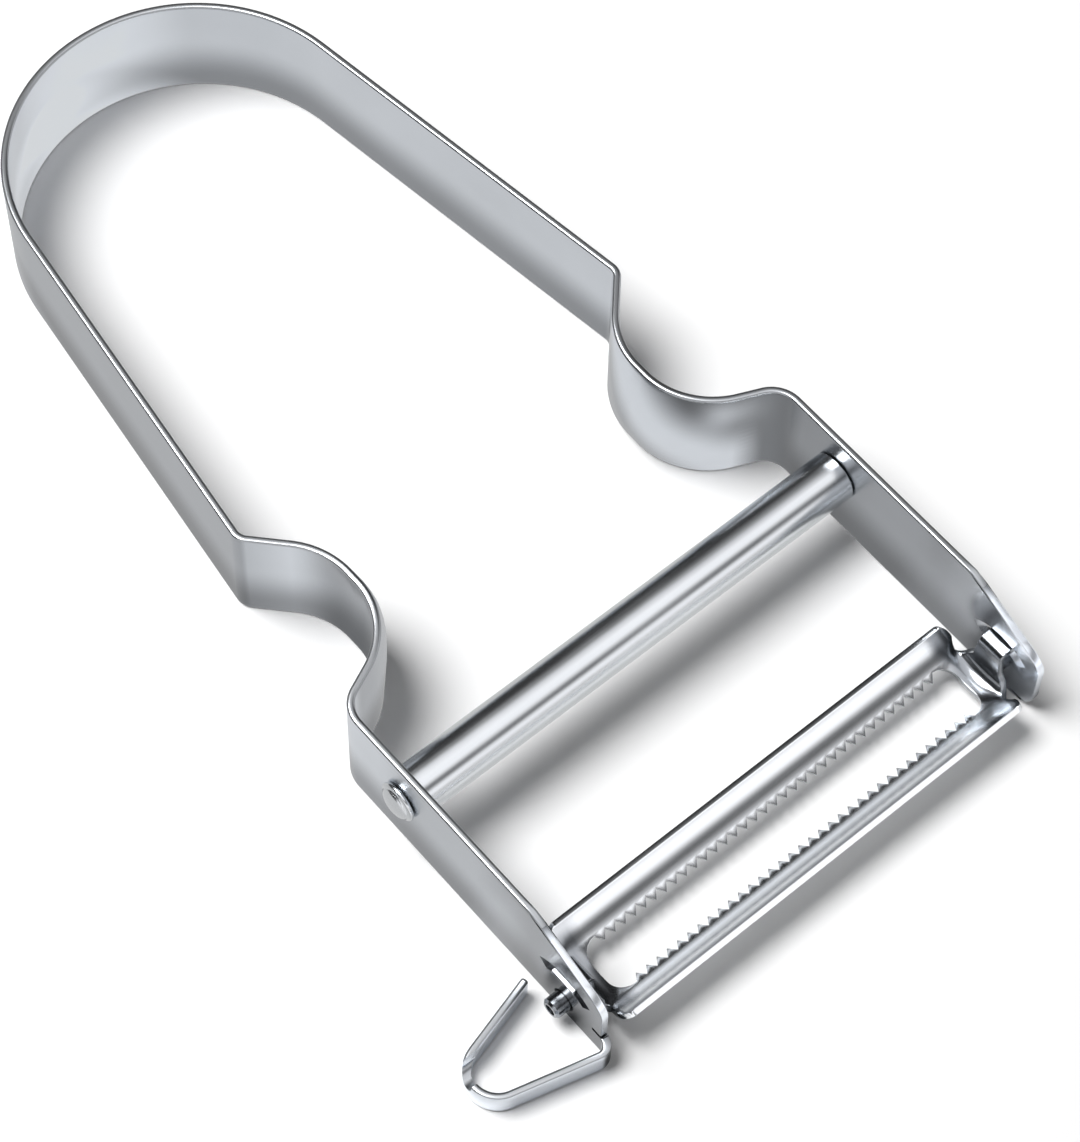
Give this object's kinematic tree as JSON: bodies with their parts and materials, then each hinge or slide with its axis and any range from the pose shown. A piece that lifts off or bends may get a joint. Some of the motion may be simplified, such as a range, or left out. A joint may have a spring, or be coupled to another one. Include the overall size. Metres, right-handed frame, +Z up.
{
  "type": "serrated peeler",
  "caption": "Y-shaped hand peeler bent from one steel strip, with a riveted crossbar, an eye-remover loop and a toothed double-edged blade that swings between the arms.",
  "frame": {"origin": "on the surface that the peeler lies on, under the middle of its bounding box", "axes": "+Z up, away from that surface; +Y towards the handle's closed end, with the blade towards -Y; +X towards the plain arm, with the eye-remover loop at -X"},
  "size_m": [0.069, 0.1156, 0.013],
  "materials": {
    "bow_steel": "satin-polished strip steel",
    "bar_steel": "mirror-polished rod",
    "blade_steel": "bright rolled blade steel with ground teeth"
  },
  "bodies": {
    "frame": {"bow_frame": "bow_steel", "crossbar": "bar_steel"},
    "blade": {"blade": "blade_steel"}
  },
  "joints": [
    {"name": "blade_swing", "type": "hinge", "parent": "frame", "child": "blade", "pos_m": [0.00522, -0.051, 0.00265], "axis": [1, 0, 0], "range_deg": [-18, 18]}
  ]
}
